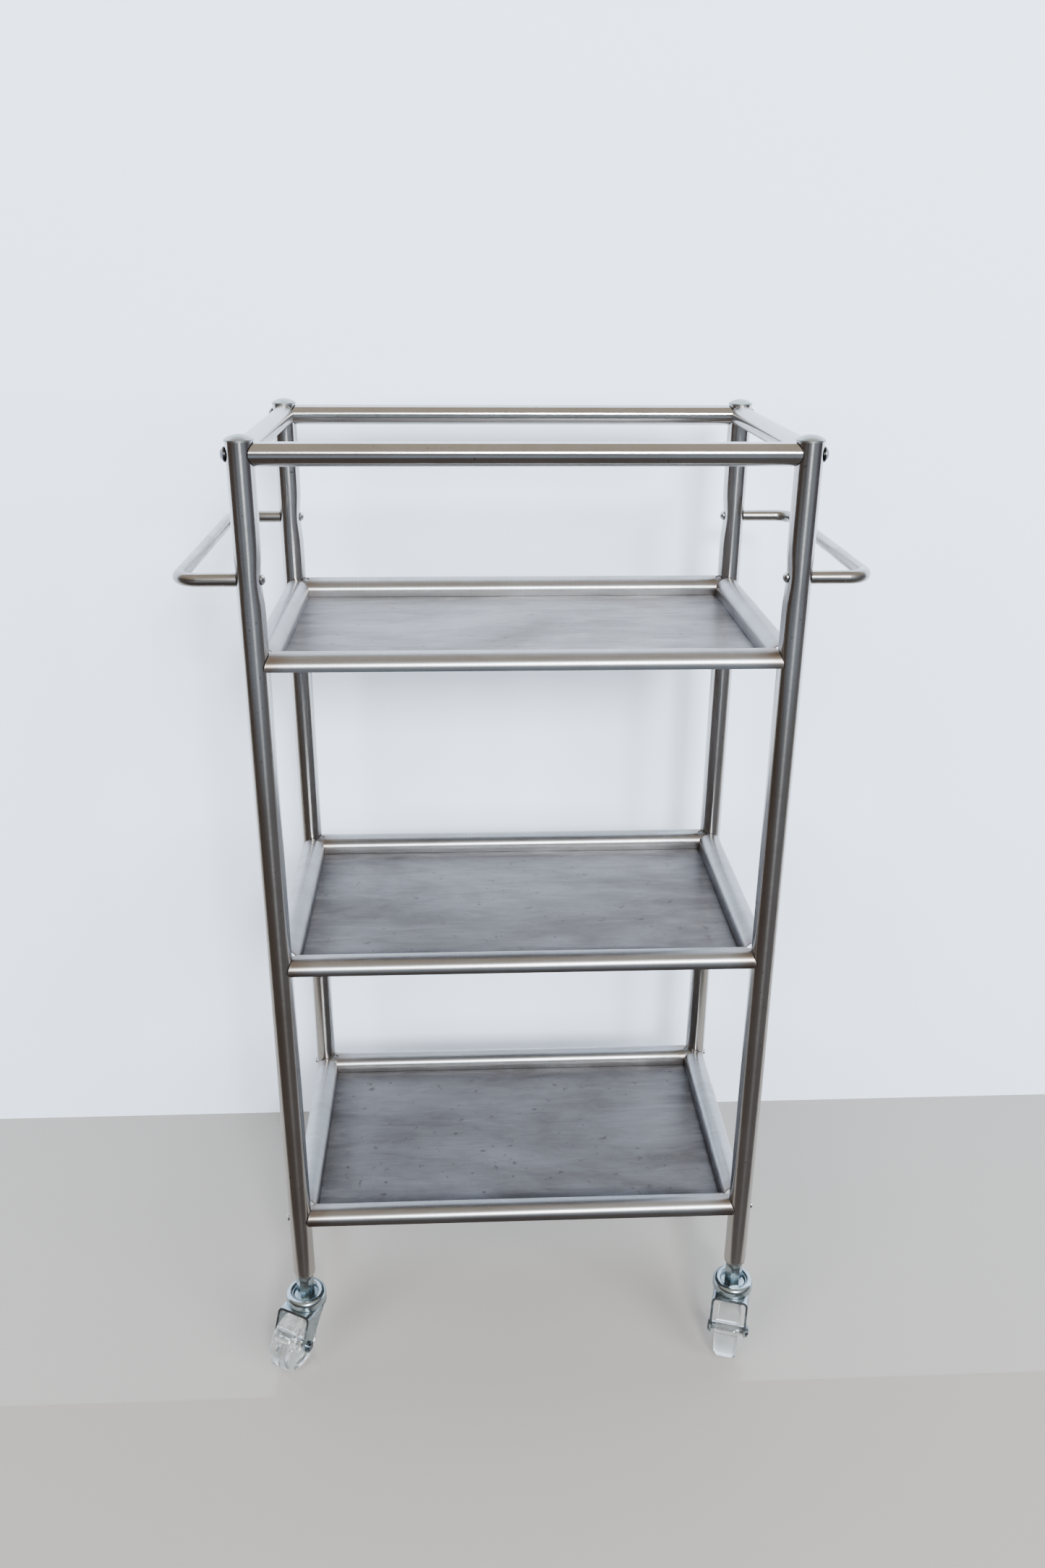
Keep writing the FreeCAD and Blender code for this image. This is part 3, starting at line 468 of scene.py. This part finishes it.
for tray in TRAYS:
    low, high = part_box(f"tray_{tray}")
    for corner, (side_x, side_y) in CORNERS.items():
        post = centre(f"post_{corner}")
        sides = (("wide", -side_x, TACK_LEAN * side_y), ("deep", -TACK_LEAN * side_x, -side_y))
        for name, dx, dy in sides:
            reach = Vector((dx, dy, 0)).normalized() * (post_radius + 0.0004)
            base = Vector((post.x, post.y, low.z + TACK_HEIGHT)) + reach
            tack = [base + Vector((0, 0, TACK_HALF_LENGTH * (k - 4) / 4)) for k in range(9)]
            bead(f"tack_{name}_{tray}_{corner}", tack, TACK_RADIUS, False)


# --- surroundings ---------------------------------------------------------------------------

def plane(name, corners, material):
    mesh = bpy.data.meshes.new(name)
    mesh.from_pydata(corners, [], [tuple(range(len(corners)))])
    made = bpy.data.objects.new(name, mesh)
    bpy.context.scene.collection.objects.link(made)
    mesh.materials.append(material)
    made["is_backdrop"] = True
    return made


WALL_Y, WALL_TOP = 0.217, 1.35
REACH = 3.0
FLAG_HEIGHT, FLAG_EDGE = 0.003, -0.17


def level_sheet(front, back, z):
    """The corners of a level rectangle that spans the whole width of the surroundings."""
    return [(-REACH, front, z), (REACH, front, z), (REACH, back, z), (-REACH, back, z)]


floor_look = Shader("floor")
floor_look.surface(Base_Color=colour(0.28, 0.26, 0.235), Roughness=0.22)
plane("floor", level_sheet(-REACH, REACH, 0), floor_look.material)
# the wall is clear from behind, so that it never hides the cart
wall_look = Shader("wall")
wall_look.surface(Base_Color=colour(0.72, 0.80, 0.93), Roughness=0.75)
glass = wall_look.node("ShaderNodeBsdfTransparent")
sides = wall_look.node("ShaderNodeMixShader")
geometry = wall_look.node("ShaderNodeNewGeometry")
wall_look.feed(sides.inputs[0], geometry.outputs["Backfacing"])
wall_look.feed(sides.inputs[1], wall_look.bsdf.outputs[0])
wall_look.feed(sides.inputs[2], glass.outputs[0])
wall_look.feed(wall_look.tree.nodes["Material Output"].inputs["Surface"], sides.outputs[0])
wall_corners = [(x, WALL_Y, z) for x, z in ((-REACH, 0), (REACH, 0), (REACH, WALL_TOP), (-REACH, WALL_TOP))]
plane("wall", wall_corners, wall_look.material)


def area_light(name, spot, aim, size, power, tint=(1, 1, 1), seen=True):
    data = bpy.data.lights.new(name, "AREA")
    data.shape = "RECTANGLE"
    data.size, data.size_y = size
    data.energy = power
    data.color = tint
    made = bpy.data.objects.new(name, data)
    made.location = spot
    made.rotation_euler = (Vector(aim) - Vector(spot)).to_track_quat("-Z", "Y").to_euler()
    bpy.context.scene.collection.objects.link(made)
    made.visible_glossy = seen


# one small bright window behind the camera, and soft fills that the steel doesn't mirror
area_light("window", (0.50, -3.0, 1.85), (0, 0, 0.6), (0.60, 0.46), 190, (0.91, 0.96, 1.0))
area_light("fill_left", (-2.0, -2.2, 1.6), (0, 0.2, 0.6), (1.6, 1.8), 150, (0.93, 0.96, 1.0), seen=False)
area_light("fill_right", (2.2, -2.2, 1.6), (0, 0.2, 0.6), (1.6, 1.8), 200, (0.90, 0.95, 1.0), seen=False)
# a flag on the floor in front, seen only in reflections, keeps the steel's lower tones dark: it glows with
# a painted reflection, brown to the left and grey to the right near the cart, bluish further off
flag_look = Shader("flag")
across = flag_look.remap(flag_look.axis("X"), -0.5, 1.2)
shade = flag_look.mix(across, colour(0.10, 0.078, 0.066), colour(0.20, 0.20, 0.21))
away = flag_look.remap(flag_look.axis("Y"), -1.3, -2.2)
shade = flag_look.mix(away, shade, colour(0.40, 0.47, 0.56))
flag_look.surface(Base_Color=colour(0, 0, 0), Emission_Color=shade, Emission_Strength=1.0)
flag_look.surface(Specular_IOR_Level=0.0)
flag = plane("flag", level_sheet(-REACH, FLAG_EDGE, FLAG_HEIGHT), flag_look.material)
flag.visible_camera = False
flag.visible_diffuse = False
flag.visible_shadow = False
flag.visible_transmission = False

world = bpy.data.worlds.new("studio")
bpy.context.scene.world = world
world.use_nodes = True
tree = world.node_tree
backdrop = tree.nodes["Background"]
direction = tree.nodes.new("ShaderNodeTexCoord").outputs["Generated"]
split = tree.nodes.new("ShaderNodeSeparateXYZ")
tree.links.new(direction, split.inputs[0])


def world_ramp(source, low, high, stops):
    shift = tree.nodes.new("ShaderNodeMapRange")
    tree.links.new(source, shift.inputs["Value"])
    shift.inputs["From Min"].default_value = low
    shift.inputs["From Max"].default_value = high
    ramp = tree.nodes.new("ShaderNodeValToRGB")
    tree.links.new(shift.outputs["Result"], ramp.inputs["Fac"])
    elements = ramp.color_ramp.elements
    while len(elements) < len(stops):
        elements.new(0.5)
    for element, (position, shade) in zip(elements, stops):
        element.position = position
        element.color = (*shade, 1)
    return ramp.outputs["Color"]


def world_mix(factor, first, second):
    made = tree.nodes.new("ShaderNodeMix")
    made.data_type = "RGBA"
    tree.links.new(factor, made.inputs["Factor"])
    tree.links.new(first, made.inputs[6])
    tree.links.new(second, made.inputs[7])
    return made.outputs[2]


# round the room from left to right: a dark side, the window's side, a dark end
BROWN, HAZE = (0.105, 0.08, 0.068), (0.50, 0.60, 0.72)
MIST, DUSK = (0.36, 0.40, 0.46), (0.12, 0.11, 0.14)
WARM_LEFT, WARM_RIGHT = (0.66, 0.56, 0.45), (0.74, 0.66, 0.56)
BLACK, WHITE = (0, 0, 0), (1, 1, 1)
level_stops = [(0.0, BROWN), (0.53, BROWN), (0.60, HAZE), (0.72, MIST), (0.86, MIST), (0.97, DUSK)]
below_stops = [(0.0, BROWN), (0.25, BROWN), (0.36, MIST), (0.86, MIST), (0.97, DUSK)]
sideways = world_ramp(split.outputs["X"], -1, 1, level_stops)
ceiling = world_ramp(split.outputs["X"], -1, 1, [(0.0, WARM_LEFT), (1.0, WARM_RIGHT)])
below = world_ramp(split.outputs["X"], -1, 1, below_stops)
# height is 1 overhead, and depth is 1 below the horizon
height = world_ramp(split.outputs["Z"], 0.15, 0.65, [(0.0, BLACK), (1.0, WHITE)])
depth = world_ramp(split.outputs["Z"], -0.06, 0.02, [(0.0, WHITE), (1.0, BLACK)])
band = world_mix(depth, sideways, below)
room = world_mix(height, band, ceiling)
# the camera sees a plain pale room; reflections and soft light see its light and dark sides
plain = tree.nodes.new("ShaderNodeRGB").outputs["Color"]
plain.default_value = (0.66, 0.69, 0.74, 1)
seen_directly = tree.nodes.new("ShaderNodeLightPath").outputs["Is Camera Ray"]
tree.links.new(world_mix(seen_directly, room, plain), backdrop.inputs["Color"])
backdrop.inputs["Strength"].default_value = 1.0

# --- camera ---------------------------------------------------------------------------------

lens = bpy.data.cameras.new("camera")
lens.lens = 28.64
lens.sensor_width = 36
camera = bpy.data.objects.new("camera", lens)
yaw, pitch, roll = math.radians(2.80), math.radians(22.81), math.radians(0.40)
camera.matrix_world = (
    Matrix.Translation((-0.0434, -0.9634, 0.9005))
    @ Matrix.Rotation(-yaw, 4, "Z")
    @ Matrix.Rotation(math.pi / 2 - pitch, 4, "X")
    @ Matrix.Rotation(roll, 4, "Z")
)
bpy.context.scene.collection.objects.link(camera)
bpy.context.scene.camera = camera

low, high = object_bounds()
